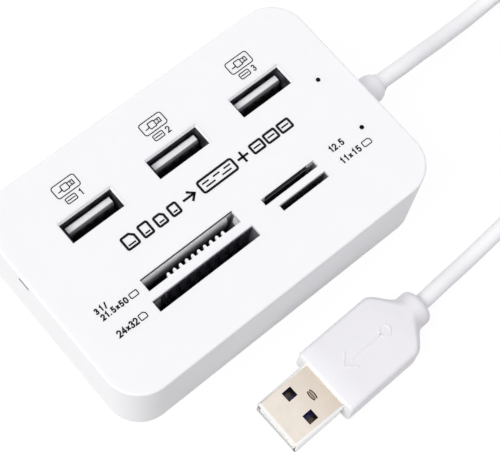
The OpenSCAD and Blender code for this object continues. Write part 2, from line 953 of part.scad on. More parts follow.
module plug_contact(i) {
    y = contact_x[i];
    front = abs(y) > 2 ? -tube_shows + 2 : -tube_shows + 3;
    top = grip_z - tube_in[1] / 2 + 1.95;
    box([front, y - 0.5, top - contact_t], [4.5, y + 0.5, top]);
}

module plug_contacts() color("gold")
    plug_place()
        for (i = [0 : 3])
            plug_contact(i);

top_cover();
bottom_cover();
rubber_feet();
cover_screws();
main_board();
at_port(1) port_shell();  // port_shell_1
at_port(2) port_shell();  // port_shell_2
at_port(3) port_shell();  // port_shell_3
at_port(1) port_insert();  // port_insert_1
at_port(2) port_insert();  // port_insert_2
at_port(3) port_insert();  // port_insert_3
at_port(1) port_contacts();  // port_contacts_1
at_port(2) port_contacts();  // port_contacts_2
at_port(3) port_contacts();  // port_contacts_3
wide_card_socket();
wide_socket_shield();
full_card_contacts();
stick_card_contacts();
narrow_card_socket();
narrow_socket_shield();
small_card_contacts();
short_stick_contacts();
hub_chip();
reader_chip();
crystal();
capacitors();
chip_resistors();
power_led();
activity_led();
strain_relief();
lead_wires();
cord_hub_end();
cord_coil();
cord_tie();
cord_plug_end();
plug_grip();
plug_tube();
plug_insert();
plug_contacts();
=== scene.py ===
"""Looks of a desktop USB hub with a built-in card reader, on a captive lead with its plug.

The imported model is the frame. This script adds the lead with its coil and tie, a smooth grip,
bevels and sprung leaves in the openings, the print on the top face, a material for every piece, and
the studio. Lengths are written in millimetres unless a comment says otherwise.
"""
import math

import bpy
from mathutils import Matrix, Vector


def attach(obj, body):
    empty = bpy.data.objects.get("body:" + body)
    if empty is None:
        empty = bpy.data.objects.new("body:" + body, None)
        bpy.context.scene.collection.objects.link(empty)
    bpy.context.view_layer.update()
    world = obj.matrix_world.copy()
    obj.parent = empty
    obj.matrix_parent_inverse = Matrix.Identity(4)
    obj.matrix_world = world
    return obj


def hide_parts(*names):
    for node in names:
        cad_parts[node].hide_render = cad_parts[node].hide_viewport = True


MM = 0.001
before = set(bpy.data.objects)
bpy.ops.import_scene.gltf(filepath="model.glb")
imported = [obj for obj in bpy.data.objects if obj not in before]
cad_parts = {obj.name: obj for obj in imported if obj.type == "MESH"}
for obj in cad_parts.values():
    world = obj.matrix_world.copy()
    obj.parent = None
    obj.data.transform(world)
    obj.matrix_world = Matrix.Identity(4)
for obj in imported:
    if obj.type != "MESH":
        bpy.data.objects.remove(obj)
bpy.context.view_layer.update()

# Camera, solved from the photograph: compass angle, height angle, roll, place, focal length in
# pixels and the picture's width, then the sensor's width, and the nearest and farthest seen in
# metres
CAMERA_AZIMUTH = -49.34
CAMERA_ELEVATION = 68.05
CAMERA_ROLL = 9.80
CAMERA_PLACE = (-84.92, -85.16, 304.59)
FOCAL_PIXELS = 1531.7
PICTURE_WIDTH = 500
SENSOR = 36.0
CLIP = (0.01, 20)

# Lead: its thickness, where it starts inside and comes out of the wall, and the gland's end
CORD_D = 3.6
CORD_R = CORD_D / 2
CORD_INNER_X = 34.0
WALL_X = 40.3
EXIT_Y = -0.2
EXIT_Z = 11.0
GLAND_END = 48.3

# Coil: its middle and radius, the two rings' places, and where the lead joins them
COIL_X, COIL_Y = 104.0, -17.5
COIL_R = 18.0
TIE_T = 0.4
RING_OUT = COIL_R + CORD_R
LOW_Z = TIE_T + CORD_R
HIGH_Z = LOW_Z + CORD_D
STUB_X = 89.5

# Coil's turning in degrees: step between points, all of it, and where it moves in, up and out
COIL_STEP = 6
COIL_TURNED = 1260
MOVE_IN, MOVE_UP, MOVE_OUT = 300, 600, 900
MOVE_LONG = 60

# Plug: middle of the grip's front face, turn, the grip's length and height, and the lead's pocket
PLUG_X, PLUG_Y = -4.2, -42.6
PLUG_TURN = math.radians(1.5)
GRIP_L = 27.4
GRIP_Z = 4.0
CORD_POCKET = 5.0

# Indicator holes in the top face
LED_HOLES = ((33.6, 5.1), (33.5, -8.7))
LED_HOLE_R = 0.5

# Openings in the top face: the ports' middles and size, then card slots as middle x, middle y,
# length and width
PORT_X = (-21.4, 0.6, 22.6)
PORT_Y = 10.6
PORT_SIZE = (13.3, 5.2)
STICK_SLOT = (-11.0, -7.6, 23.4, 3.0)
SHORT_SLOT = (13.8, -8.8, 14.0, 1.6)
FULL_SLOT = (-10.8, -12.4, 25.6, 2.7)

# Small recess in the left wall: middle y, middle z, length and height
SIDE_NOTCH = (8.2, 19.4, 3.2, 1.0)

# Sprung leaf of a stick card slot, in section: share of its bow and height, foot, and thickness
LEAF_SECTION = ((0.0, 21.1), (0.35, 20.86), (0.65, 20.55), (0.85, 20.15), (0.97, 19.5),
                (1.0, 18.6), (1.0, 17.4), (0.8, 16.2), (0.4, 15.0))
LEAF_FOOT = (-0.12, 14.0)
LEAF_SHEET = 0.18

# Tie round the coil: its width as an angle, and the thickness of its twisted ends
TIE_DEGREES = 10.0
TAIL_R = 0.8

# Print on the top face: the face's height, the print's lower and upper side, and its line widths
TOP_Z = 22.0
INK_Z = (TOP_Z - 0.01, TOP_Z + 0.02)
FRAME_LINE = 0.22
LABEL_LINE = 0.31
NUMBER_LINE = 0.25
TITLE_LINE = 0.52
TITLE_FINE = 0.34

# Lines: how far an open end reaches past its point, in half widths, and the limit at sharp corners
END_REACH = 0.6
MITRE_LIMIT = 0.4

# Print: middles of the port frames, then the title's lower and upper line and its card signs, as
# left, right, top and cut corner
PORT_FRAMES = ((-21.75, 18.6), (0.45, 18.5), (23.2, 18.35))
TITLE_LOW, TITLE_HIGH = 0.05, 2.85
TITLE_CARDS = ((-20.4, -17.6, 2.85, 0.8), (-16.2, -14.0, 2.85, 0.0),
               (-12.6, -10.4, 2.35, 0.6), (-9.0, -7.0, 2.45, 0.0))

# Print beside the slots: sizes as text, left, base line, height and width, then card signs as
# left, lower, right and upper edge and cut corner
SLOT_LABELS = (("12.5", 25.0, -9.15, 1.25, 3.3), ("11x15", 25.2, -12.5, 1.25, 4.9),
               ("31/", -33.5, -6.5, 1.1, 2.6), ("21.5x50", -33.2, -8.2, 1.1, 6.1),
               ("24x32", -32.9, -12.9, 1.3, 4.7))
SLOT_CARDS = ((31.0, -12.5, 33.0, -11.25, 0.4), (-26.3, -8.2, -24.5, -7.1, 0.0),
              (-27.6, -12.9, -26.0, -11.6, 0.4))

# Studio: half the floor's side in metres, its paint, the glow that lifts it to white, the share of
# that glow, and the level of light all round
FLOOR_HALF = 3.0
FLOOR_PAINT = 0.4
FLOOR_GLOW = 1.12
GLOW_SHARE = 0.85
ROOM_LIGHT = 0.66


# Camera


def make_camera():
    azimuth = math.radians(CAMERA_AZIMUTH)
    elevation = math.radians(CAMERA_ELEVATION)
    roll = math.radians(CAMERA_ROLL)
    back = Vector((math.sin(azimuth) * math.cos(elevation),
                   -math.cos(azimuth) * math.cos(elevation),
                   math.sin(elevation)))
    right = (-back).cross(Vector((0, 0, 1))).normalized()
    up = right.cross(-back)
    side = math.cos(roll) * right + math.sin(roll) * up
    top = -math.sin(roll) * right + math.cos(roll) * up
    turn = Matrix((side, top, back)).transposed().to_4x4()
    data = bpy.data.cameras.new("camera")
    data.sensor_width = SENSOR
    data.lens = SENSOR * FOCAL_PIXELS / PICTURE_WIDTH
    data.clip_start, data.clip_end = CLIP
    camera = bpy.data.objects.new("camera", data)
    camera.matrix_world = Matrix.Translation(Vector(CAMERA_PLACE) * MM) @ turn
    bpy.context.scene.collection.objects.link(camera)
    bpy.context.scene.camera = camera


make_camera()


# Lead: the route's points from the housing to the coil, and from the coil to the plug


def plug_point(u, z):
    """A point of the plug's axis, u along it from the grip's front face."""
    return (PLUG_X + u * math.cos(PLUG_TURN), PLUG_Y + u * math.sin(PLUG_TURN), z)


ROUTE_OUT = [
    (CORD_INNER_X, EXIT_Y, EXIT_Z),
    (GLAND_END, EXIT_Y, EXIT_Z),
    (51, EXIT_Y, 10.9),
    (55.3, EXIT_Y + 0.1, 10.1),
    (61, 0.4, 8.3),
    (67, 0.9, 6),
    (73, 1.5, 3.9),
    (78.4, 1.9, 2.5),
    (82.6, 2.2, 2),
    (STUB_X - 3, COIL_Y + RING_OUT, LOW_Z),
    (STUB_X, COIL_Y + RING_OUT, LOW_Z),
]
ROUTE_BACK = [
    (STUB_X, COIL_Y - RING_OUT, HIGH_Z),
    (STUB_X - 3, COIL_Y - RING_OUT, HIGH_Z),
    (81, -37.4, 4.8),
    (74, -37.8, 3.2),
    (66, -38.6, 2),
    (56, -39.4, CORD_R),
    (46, -40.2, CORD_R),
    (38, -40.8, 2),
    (30, -41.4, 3.4),
    plug_point(GRIP_L + 1, GRIP_Z),
    plug_point(GRIP_L - 2, GRIP_Z),
    plug_point(GRIP_L - CORD_POCKET, GRIP_Z),
]


def smooth_curve(points, steps):
    """Catmull-Rom curve through the points, with that many steps to a stretch."""
    p = [Vector(q) for q in points]
    last = len(p) - 1
    made = []
    for i in range(last):
        a, b, c, d = p[max(i - 1, 0)], p[i], p[i + 1], p[min(i + 2, last)]
        for k in range(steps):
            t = k / steps
            made.append(0.5 * (2 * b + (c - a) * t + (2 * a - 5 * b + 4 * c - d) * t * t
                               + (3 * b - a - 3 * c + d) * t * t * t))
    made.append(p[last])
    return made


def eased(value, start, end):
    """0 before start, 1 after end, and a smooth step between them."""
    t = min(max((value - start) / (end - start), 0), 1)
    return t * t * (3 - 2 * t)


def coil_points():
    """Coil, clockwise: outer, then inner ring on the table, then inner and outer ring above."""
    made = []
    for turned in range(COIL_STEP, COIL_TURNED, COIL_STEP):
        inward = (eased(turned, MOVE_IN, MOVE_IN + MOVE_LONG)
                  - eased(turned, MOVE_OUT, MOVE_OUT + MOVE_LONG))
        r = RING_OUT - CORD_D * inward
        z = LOW_Z + CORD_D * eased(turned, MOVE_UP, MOVE_UP + MOVE_LONG)
        a = math.radians(90 - turned)
        made.append(Vector((COIL_X + r * math.cos(a), COIL_Y + r * math.sin(a), z)))
    return made


def straight(a, b, steps):
    a, b = Vector(a), Vector(b)
    return [a + (b - a) * k / steps for k in range(1, steps + 1)]


def make_curve(name, points, radius, material):
    """Round tube along one open spline."""
    data = bpy.data.curves.new(name, "CURVE")
    data.dimensions = "3D"
    data.bevel_depth = radius * MM
    data.bevel_resolution = 6
    data.use_fill_caps = True
    spline = data.splines.new("POLY")
    spline.points.add(len(points) - 1)
    for target, point in zip(spline.points, points):
        target.co = (*(Vector(point) * MM), 1)
    obj = bpy.data.objects.new(name, data)
    bpy.context.scene.collection.objects.link(obj)
    data.materials.append(material)
    return obj


def lead_points():
    top = (COIL_X, COIL_Y + RING_OUT, LOW_Z)
    bottom = (COIL_X, COIL_Y - RING_OUT, HIGH_Z)
    return (smooth_curve(ROUTE_OUT, 6)
            + straight((STUB_X, COIL_Y + RING_OUT, LOW_Z), top, 4)
            + coil_points()
            + straight(bottom, (STUB_X, COIL_Y - RING_OUT, HIGH_Z), 4)[:-1]
            + smooth_curve(ROUTE_BACK, 6))


# Materials


def new_material(name):
    material = bpy.data.materials.new(name)
    material.use_nodes = True
    nodes = material.node_tree.nodes
    return material, nodes, material.node_tree.links, nodes["Principled BSDF"]


def add_noise(nodes, links, scale, detail=4, rough=0.5, stretch=None):
    """Noise over the object's own coordinates, scale in grains to a millimetre."""
    place = nodes.new("ShaderNodeTexCoord")
    noise = nodes.new("ShaderNodeTexNoise")
    noise.inputs["Scale"].default_value = scale / MM
    noise.inputs["Detail"].default_value = detail
    noise.inputs["Roughness"].default_value = rough
    if stretch:
        mapping = nodes.new("ShaderNodeMapping")
        mapping.inputs["Scale"].default_value = stretch
        links.new(place.outputs["Object"], mapping.inputs["Vector"])
        links.new(mapping.outputs["Vector"], noise.inputs["Vector"])
    else:
        links.new(place.outputs["Object"], noise.inputs["Vector"])
    return noise


def tint(nodes, links, shader, noise, colour, spread):
    """Base colour that wanders a little around the given one."""
    ramp = nodes.new("ShaderNodeValToRGB")
    ramp.color_ramp.elements[0].position = 0.3
    ramp.color_ramp.elements[1].position = 0.7
    ramp.color_ramp.elements[0].color = (*[c * (1 - spread) for c in colour], 1)
    ramp.color_ramp.elements[1].color = (*[min(c * (1 + spread), 1) for c in colour], 1)
    links.new(noise.outputs["Fac"], ramp.inputs["Fac"])
    links.new(ramp.outputs["Color"], shader.inputs["Base Color"])


def bump(nodes, links, shader, noise, depth):
    node = nodes.new("ShaderNodeBump")
    node.inputs["Distance"].default_value = depth * MM
    links.new(noise.outputs["Fac"], node.inputs["Height"])
    links.new(node.outputs["Normal"], shader.inputs["Normal"])


def vary_roughness(nodes, links, shader, noise, low, high):
    spread = nodes.new("ShaderNodeMapRange")
    spread.inputs["To Min"].default_value = low
    spread.inputs["To Max"].default_value = high
    links.new(noise.outputs["Fac"], spread.inputs["Value"])
    links.new(spread.outputs["Result"], shader.inputs["Roughness"])


def plastic(name, colour, rough, grain=6, depth=0.004, spread=0.01, coat=0.0):
    """Moulded plastic: fine grain in the surface, slow change of tint and of gloss."""
    material, nodes, links, shader = new_material(name)
    fine = add_noise(nodes, links, grain, 3)
    slow = add_noise(nodes, links, 0.12, 2)
    tint(nodes, links, shader, slow, colour, spread)
    bump(nodes, links, shader, fine, depth)
    vary_roughness(nodes, links, shader, slow, rough - 0.04, rough + 0.04)
    shader.inputs["Coat Weight"].default_value = coat
    shader.inputs["Coat Roughness"].default_value = 0.2
    return material


def metal(name, colour, rough, stretch=(1, 1, 1), grain=3, depth=0.002, spread=0.04,
          metallic=1.0):
    """Rolled and plated sheet: fine lines along the roll, patches of duller plate."""
    material, nodes, links, shader = new_material(name)
    lines = add_noise(nodes, links, grain, 4, 0.6, stretch)
    patches = add_noise(nodes, links, 0.5, 3)
    tint(nodes, links, shader, patches, colour, spread)
    bump(nodes, links, shader, lines, depth)
    vary_roughness(nodes, links, shader, patches, rough * 0.8, rough * 1.25)
    shader.inputs["Metallic"].default_value = metallic
    return material


def set_socket(material, name, value):
    material.node_tree.nodes["Principled BSDF"].inputs[name].default_value = value


# Masks: values from 0 to 1 that say where a piece has another colour


def read_axis(nodes, links, source, axis, low, high):
    """0 up to low and 1 from high, along one axis of what the source gives."""
    place = nodes.new("ShaderNodeTexCoord")
    split = nodes.new("ShaderNodeSeparateXYZ")
    spread = nodes.new("ShaderNodeMapRange")
    spread.inputs["From Min"].default_value = low
    spread.inputs["From Max"].default_value = high
    links.new(place.outputs[source], split.inputs["Vector"])
    links.new(split.outputs[axis], spread.inputs["Value"])
    return spread.outputs["Result"]


def place_value(nodes, links, axis, low, high):
    """0 up to low and 1 from high, along one axis of the model, in millimetres."""
    return read_axis(nodes, links, "Object", axis, low * MM, high * MM)


def facing(nodes, links, axis, sign):
    """1 on surfaces that face one side of the model, such as X and -1 for its left side."""
    return read_axis(nodes, links, "Normal", axis, 0.3 * sign, 0.9 * sign)


def combine(nodes, links, operation, values):
    """Several values made into one by the same operation."""
    result = values[0]
    for value in values[1:]:
        node = nodes.new("ShaderNodeMath")
        node.operation = operation
        links.new(result, node.inputs[0])
        links.new(value, node.inputs[1])
        result = node.outputs[0]
    return result


def times(nodes, links, *values):
    return combine(nodes, links, "MULTIPLY", values)


def largest(nodes, links, *values):
    return combine(nodes, links, "MAXIMUM", values)


def between(nodes, links, axis, low, high, soft=0.05):
    """1 from low to high along one axis of the model, with soft edges, and 0 outside."""
    return times(nodes, links, place_value(nodes, links, axis, low - soft, low + soft),
                 place_value(nodes, links, axis, high + soft, high - soft))


def below(z_dark, z_light):
    """Mask of painted shade: 1 deep inside and 0 near the opening."""
    return lambda nodes, links: place_value(nodes, links, "Z", z_light, z_dark)


# Sockets of a Mix node for colours: share, first and second colour, and result
MIX_SHARE, MIX_FIRST, MIX_SECOND, MIX_RESULT = 0, 6, 7, 2


def recolour(material, mask, colour):
    """Turns a material's colour into another where the mask is 1."""
    nodes, links = material.node_tree.nodes, material.node_tree.links
    shader = nodes["Principled BSDF"]
    before = shader.inputs["Base Color"].links[0].from_socket
    mix = nodes.new("ShaderNodeMix")
    mix.data_type = "RGBA"
    mix.inputs[MIX_SECOND].default_value = (*colour, 1)
    links.new(mask(nodes, links), mix.inputs[MIX_SHARE])
    links.new(before, mix.inputs[MIX_FIRST])
    links.new(mix.outputs[MIX_RESULT], shader.inputs["Base Color"])


# Materials that change over their piece


def make_tongue():
    """White at its end, with painted shade: grey along its edge and dark where it stands deep in
    its metal tube.
    """
    material = plastic("tongue_white", (0.95, 0.94, 0.96), 0.4)

    def near_edge(nodes, links):
        return place_value(nodes, links, "Y", PORT_Y + 0.62, PORT_Y + 0.42)

    # Painted shade on the tongue's edge and on the side that faces away from the light
    recolour(material, near_edge, (0.30, 0.29, 0.31))
    # Painted shade, darker deep in the tube
    recolour(material, below(16.8, 19.3), (0.02, 0.02, 0.023))
    return material


def make_shield():
    """Plated sheet, bright near the opening, with painted shade further down."""
    material = metal("shield_steel", (0.90, 0.89, 0.90), 0.45, (0.1, 1, 1), 2, 0.004, 0.08, 0.25)
    # Painted shade: the sheet darkens deep below the opening
    recolour(material, below(13.5, 20.6), (0.012, 0.012, 0.014))
    return material


def make_leaf_metal():
    """Bright plated leaf, with painted shade where it goes down into the dark."""
    material = metal("leaf_steel", (0.95, 0.94, 0.95), 0.4, (0.1, 1, 1), 2, 0.004, 0.05, 0.2)
    # Painted shade deep below the opening
    recolour(material, below(16.2, 20.5), (0.02, 0.02, 0.023))
    return material


def make_dull_leaf_metal():
    """Plated leaf painted dark for the shade in its narrow slot, with one painted highlight line
    along it.
    """
    # Painted shade: the leaf's plated steel gets a near-black colour
    material = metal("leaf_painted_shade", (0.035, 0.032, 0.04), 0.4, (0.1, 1, 1), 2, 0.004, 0.3, 0.2)

    def line(nodes, links):
        return between(nodes, links, "Z", 20.3, 20.7, 0.08)

    # Painted highlight along the leaf near its top
    recolour(material, line, (0.42, 0.40, 0.45))
    return material


def make_socket():
    """Black moulding, with painted light: end walls paler near the opening, and a paler patch and a
    thin line on its long walls.
    """
    material = plastic("socket_black", (0.045, 0.04, 0.056), 0.3, 4, 0.006, 0.25)
    full_left = FULL_SLOT[0] - FULL_SLOT[2] / 2
    stick_right = STICK_SLOT[0] + STICK_SLOT[2] / 2

    def right_ends(nodes, links):
        return times(nodes, links, facing(nodes, links, "X", -1),
                     place_value(nodes, links, "Z", 10.0, 20.9))

    def left_ends(nodes, links):
        return times(nodes, links, facing(nodes, links, "X", 1),
                     place_value(nodes, links, "Z", 14.0, 20.9))

    def stick_rib(nodes, links):
        """Pale rib at the right end of the stick card channel."""
        return times(nodes, links, facing(nodes, links, "X", -1),
                     between(nodes, links, "X", stick_right - 0.5, stick_right + 0.5),
                     place_value(nodes, links, "Y", -7.0, -7.1),
                     place_value(nodes, links, "Z", 17.8, 18.4))

    def corner_tab(nodes, links):
        """Painted highlight: paler patch of the full-size channel's long wall, at its left end."""
        return times(nodes, links, facing(nodes, links, "Y", -1),
                     between(nodes, links, "X", full_left + 0.1, full_left + 3.6, 0.2),
                     between(nodes, links, "Z", 14.5, 20.4, 0.4))

    def ledge_line(nodes, links):
        """Painted highlight: thin pale line low on the long walls."""
        return times(nodes, links, facing(nodes, links, "Y", -1),
                     between(nodes, links, "Z", 15.2, 15.5, 0.1))

    # Painted light on the end walls, paler towards the opening
    recolour(material, right_ends, (0.22, 0.21, 0.23))
    recolour(material, left_ends, (0.12, 0.115, 0.125))
    recolour(material, stick_rib, (1.0, 1.0, 1.0))
    # Painted highlights on the long walls
    recolour(material, corner_tab, (0.85, 0.83, 0.88))
    recolour(material, ledge_line, (0.5, 0.48, 0.54))
    return material


def led_hole(x, y):
    """Mask of painted shade in one indicator hole, just past its wall and below the top face."""
    def mask(nodes, links):
        place = nodes.new("ShaderNodeTexCoord")
        flat = nodes.new("ShaderNodeMapping")
        flat.inputs["Location"].default_value = (-x * MM, -y * MM, 0)
        flat.inputs["Scale"].default_value = (1, 1, 0)
        away = nodes.new("ShaderNodeVectorMath")
        away.operation = "LENGTH"
        links.new(place.outputs["Object"], flat.inputs["Vector"])
        links.new(flat.outputs["Vector"], away.inputs[0])
        edge = nodes.new("ShaderNodeMapRange")
        edge.inputs["From Min"].default_value = (LED_HOLE_R + 0.08) * MM
        edge.inputs["From Max"].default_value = (LED_HOLE_R + 0.04) * MM
        links.new(away.outputs["Value"], edge.inputs["Value"])
        return times(nodes, links, edge.outputs["Result"],
                     place_value(nodes, links, "Z", TOP_Z - 0.004, TOP_Z - 0.01))
    return mask


def shadow_gap(slot, left, right):
    """Mask of a stick slot's edge behind its leaf, always in shadow."""
    edge = slot[1] + slot[3] / 2

    def mask(nodes, links):
        return times(nodes, links, facing(nodes, links, "Y", -1),
                     between(nodes, links, "Y", edge - 0.1, edge + 0.1, 0.02),
                     between(nodes, links, "X", left, right),
                     place_value(nodes, links, "Z", TOP_Z, TOP_Z - 0.1))
    return mask


def side_notch(nodes, links):
    """Mask of painted shade inside the small recess high in the left wall."""
    y, z, long, high = SIDE_NOTCH
    return times(nodes, links, place_value(nodes, links, "X", -WALL_X + 0.01, -WALL_X + 0.04),
                 place_value(nodes, links, "X", 0, -1),
                 between(nodes, links, "Y", y - long / 2, y + long / 2, 0.02),
                 between(nodes, links, "Z", z - high / 2 - 0.04, z + high / 2 + 0.04, 0.02))


def make_housing():
    """White moulding, a little translucent, with painted shade in its holes, gaps and side recess.
    """
    material = plastic("housing_white", (0.90, 0.90, 0.915), 0.42, 5, 0.003, 0.004, 0.1)
    set_socket(material, "Subsurface Weight", 0.35)
    set_socket(material, "Subsurface Radius", (1.0, 1.0, 1.0))
    set_socket(material, "Subsurface Scale", 1.0 * MM)
    # Painted shade in the indicator holes
    for x, y in LED_HOLES:
        recolour(material, led_hole(x, y), (0.01, 0.01, 0.012))
    recolour(material, shadow_gap(STICK_SLOT, -22.7, 0.7), (0.03, 0.03, 0.033))
    recolour(material, shadow_gap(SHORT_SLOT, 7.9, 18.9), (0.03, 0.03, 0.033))
    # Painted shade inside the side recess
    recolour(material, side_notch, (0.06, 0.06, 0.065))
    return material


def make_ink():
    """Matt black ink, a little uneven."""
    material = plastic("print_ink", (0.006, 0.0055, 0.006), 0.7, 6, 0.002, 0.25)
    set_socket(material, "Specular IOR Level", 0.15)
    return material


def make_plug_metal():
    """Warm nickel plate, with painted shade towards the grip and painted highlights along its long
    edges and front end.
    """
    material = metal("plug_nickel", (0.84, 0.765, 0.69), 0.25, (0.15, 1, 1), 3, 0.002, 0.03)
    bridge_x = PLUG_X - 3.4

    def near_grip(nodes, links):
        return place_value(nodes, links, "X", PLUG_X - 9.0, PLUG_X + 1.0)

    def lens(nodes, links):
        """Metal between the two slits, in painted shade."""
        return times(nodes, links,
                     between(nodes, links, "X", bridge_x - 0.6, bridge_x + 0.55, 0.1),
                     between(nodes, links, "Y", PLUG_Y - 1.1, PLUG_Y + 0.9, 0.15))

    def bridge(nodes, links):
        """Painted shade: dark line along the middle of that metal."""
        return times(nodes, links,
                     between(nodes, links, "X", bridge_x - 0.2, bridge_x + 0.12, 0.05),
                     between(nodes, links, "Y", PLUG_Y - 1.15, PLUG_Y + 0.95, 0.1))

    def front_end(nodes, links):
        return place_value(nodes, links, "X", PLUG_X - 12.3, PLUG_X - 12.8)

    def pale(nodes, links):
        """Painted highlights on the two long edges and the front end."""
        return largest(nodes, links, place_value(nodes, links, "Y", PLUG_Y - 5.5, PLUG_Y - 5.75),
                       place_value(nodes, links, "Y", PLUG_Y + 5.2, PLUG_Y + 5.45),
                       front_end(nodes, links))

    def front_foot(nodes, links):
        return times(nodes, links, place_value(nodes, links, "Z", GRIP_Z - 1.4, GRIP_Z - 1.7),
                     front_end(nodes, links))

    def side_foot(nodes, links):
        return times(nodes, links, place_value(nodes, links, "Z", GRIP_Z - 0.6, GRIP_Z - 1.0),
                     place_value(nodes, links, "Y", PLUG_Y - 5.4, PLUG_Y - 5.7))

    # Painted shade on the tube towards the grip
    recolour(material, near_grip, (0.70, 0.615, 0.52))
    # Painted shade between the slits and along their middle
    recolour(material, lens, (0.50, 0.42, 0.33))
    recolour(material, bridge, (0.22, 0.16, 0.11))
    # Painted highlights on the long edges and front end
    recolour(material, pale, (0.97, 0.965, 0.96))
    # Painted shade along the lower edge of the front end and of the side
    recolour(material, front_foot, (0.62, 0.62, 0.63))
    recolour(material, side_foot, (0.12, 0.115, 0.13))

    # The pale parts, which are painted highlights, are less metallic
    nodes, links = material.node_tree.nodes, material.node_tree.links
    shine = nodes.new("ShaderNodeMapRange")
    shine.inputs["To Min"].default_value = 1.0
    shine.inputs["To Max"].default_value = 0.3
    links.new(pale(nodes, links), shine.inputs["Value"])
    links.new(shine.outputs["Result"], nodes["Principled BSDF"].inputs["Metallic"])
    return material


def make_plug_insert():
    """Dark navy moulding, painted shade for the inside of the tube, with a pale front end."""
    # Painted shade: the insert is dark navy behind its front end
    material = plastic("plug_navy", (0.016, 0.013, 0.075), 0.35, 5, 0.004, 0.2)

    def front_end(nodes, links):
        return place_value(nodes, links, "X", PLUG_X - 11.4, PLUG_X - 11.7)

    recolour(material, front_end, (0.85, 0.85, 0.86))
    return material


def make_wires():
    """Four wire sleeves, told apart by how far each lies to the side of the lead's line."""
    sleeves = ((0.5, 0.03, 0.03), (0.85, 0.85, 0.84), (0.03, 0.32, 0.08), (0.02, 0.02, 0.022))
    board_x, board_pitch = CORD_INNER_X - 4.6, 2.0
    lead_x, lead_pitch = CORD_INNER_X - 0.6, 0.85
    material = plastic("wire_sleeve", sleeves[0], 0.45, 6, 0.01, 0.1)
    nodes, links = material.node_tree.nodes, material.node_tree.links
    place = nodes.new("ShaderNodeTexCoord")
    split = nodes.new("ShaderNodeSeparateXYZ")
    links.new(place.outputs["Object"], split.inputs["Vector"])

    # Distance between neighbours, wider towards the board
    fan = nodes.new("ShaderNodeMapRange")
    fan.inputs["From Min"].default_value = board_x * MM
    fan.inputs["From Max"].default_value = lead_x * MM
    fan.inputs["To Min"].default_value = board_pitch * MM
    fan.inputs["To Max"].default_value = lead_pitch * MM
    links.new(split.outputs["X"], fan.inputs["Value"])

    # Number of the wire, from -2 to 2 across the four
    aside = nodes.new("ShaderNodeMath")
    aside.operation = "SUBTRACT"
    aside.inputs[1].default_value = EXIT_Y * MM
    links.new(split.outputs["Y"], aside.inputs[0])
    number = nodes.new("ShaderNodeMath")
    number.operation = "DIVIDE"
    links.new(aside.outputs[0], number.inputs[0])
    links.new(fan.outputs["Result"], number.inputs[1])
    spread = nodes.new("ShaderNodeMapRange")
    spread.inputs["From Min"].default_value = -2.0
    spread.inputs["From Max"].default_value = 2.0
    links.new(number.outputs[0], spread.inputs["Value"])

    ramp = nodes.new("ShaderNodeValToRGB")
    ramp.color_ramp.interpolation = "CONSTANT"
    stops = ramp.color_ramp.elements
    stops[0].color = (*sleeves[0], 1)
    stops[1].position = 0.25
    stops[1].color = (*sleeves[1], 1)
    for start, colour in zip((0.5, 0.75), sleeves[2:]):
        stops.new(start).color = (*colour, 1)
    links.new(spread.outputs["Result"], ramp.inputs["Fac"])
    links.new(ramp.outputs["Color"], nodes["Principled BSDF"].inputs["Base Color"])
    return material


def make_materials():
    return {
        "housing_white": make_housing(),
        "foot_rubber": plastic("foot_rubber", (0.05, 0.05, 0.055), 0.8, 4, 0.02, 0.1),
        "screw_steel": metal("screw_steel", (0.62, 0.62, 0.64), 0.3),
        "board_green": plastic("board_green", (0.02, 0.12, 0.045), 0.35, 2, 0.01, 0.15, 0.3),
        # Port shells: steel painted near-black, painted shade inside the ports
        "port_steel": metal("port_steel", (0.075, 0.068, 0.085), 0.4, (1, 1, 0.3), 1.6, 0.01,
                            0.8, 0.15),
        "tongue_white": make_tongue(),
        # Plated contacts painted dark for the shade deep in their ports, slots and tube
        "contact_painted_shade": metal("contact_painted_shade", (0.075, 0.062, 0.05), 0.3, spread=0.3),
        # Card contacts in the socket's dark colour: painted shade deep in the slots
        "contact_shaded_plastic": plastic("contact_shaded_plastic", (0.047, 0.042, 0.056), 0.4, 4, 0.004, 0.2),
        "socket_black": make_socket(),
        "shield_steel": make_shield(),
        "leaf_steel": make_leaf_metal(),
        "leaf_painted_shade": make_dull_leaf_metal(),
        "chip_black": plastic("chip_black", (0.02, 0.02, 0.022), 0.6, 8, 0.01, 0.1),
        "crystal_can": metal("crystal_can", (0.7, 0.7, 0.71), 0.3),
        "capacitor_sleeve": plastic("capacitor_sleeve", (0.03, 0.04, 0.12), 0.3, 3, 0.004, 0.1),
        "resistor_body": plastic("resistor_body", (0.03, 0.028, 0.025), 0.3, 6, 0.01, 0.1),
        "led_clear": plastic("led_clear", (0.75, 0.74, 0.6), 0.2, 6, 0.004, 0.05, 0.5),
        "wire_sleeve": make_wires(),
        "lead_white": plastic("lead_white", (0.945, 0.945, 0.955), 0.45, 4, 0.006, 0.01),
        # A little lighter than the lead: painted light against the housing's shadow on the gland
        "gland_white": plastic("gland_white", (0.97, 0.97, 0.98), 0.45, 4, 0.005, 0.006),
        "print_ink": make_ink(),
        "plug_navy": make_plug_insert(),
        "tie_white": plastic("tie_white", (0.8, 0.8, 0.81), 0.5, 5, 0.02, 0.03),
        "grip_white": plastic("grip_white", (0.82, 0.81, 0.835), 0.4, 4, 0.004, 0.006, 0.1),
        "plug_nickel": make_plug_metal(),
    }


materials = make_materials()

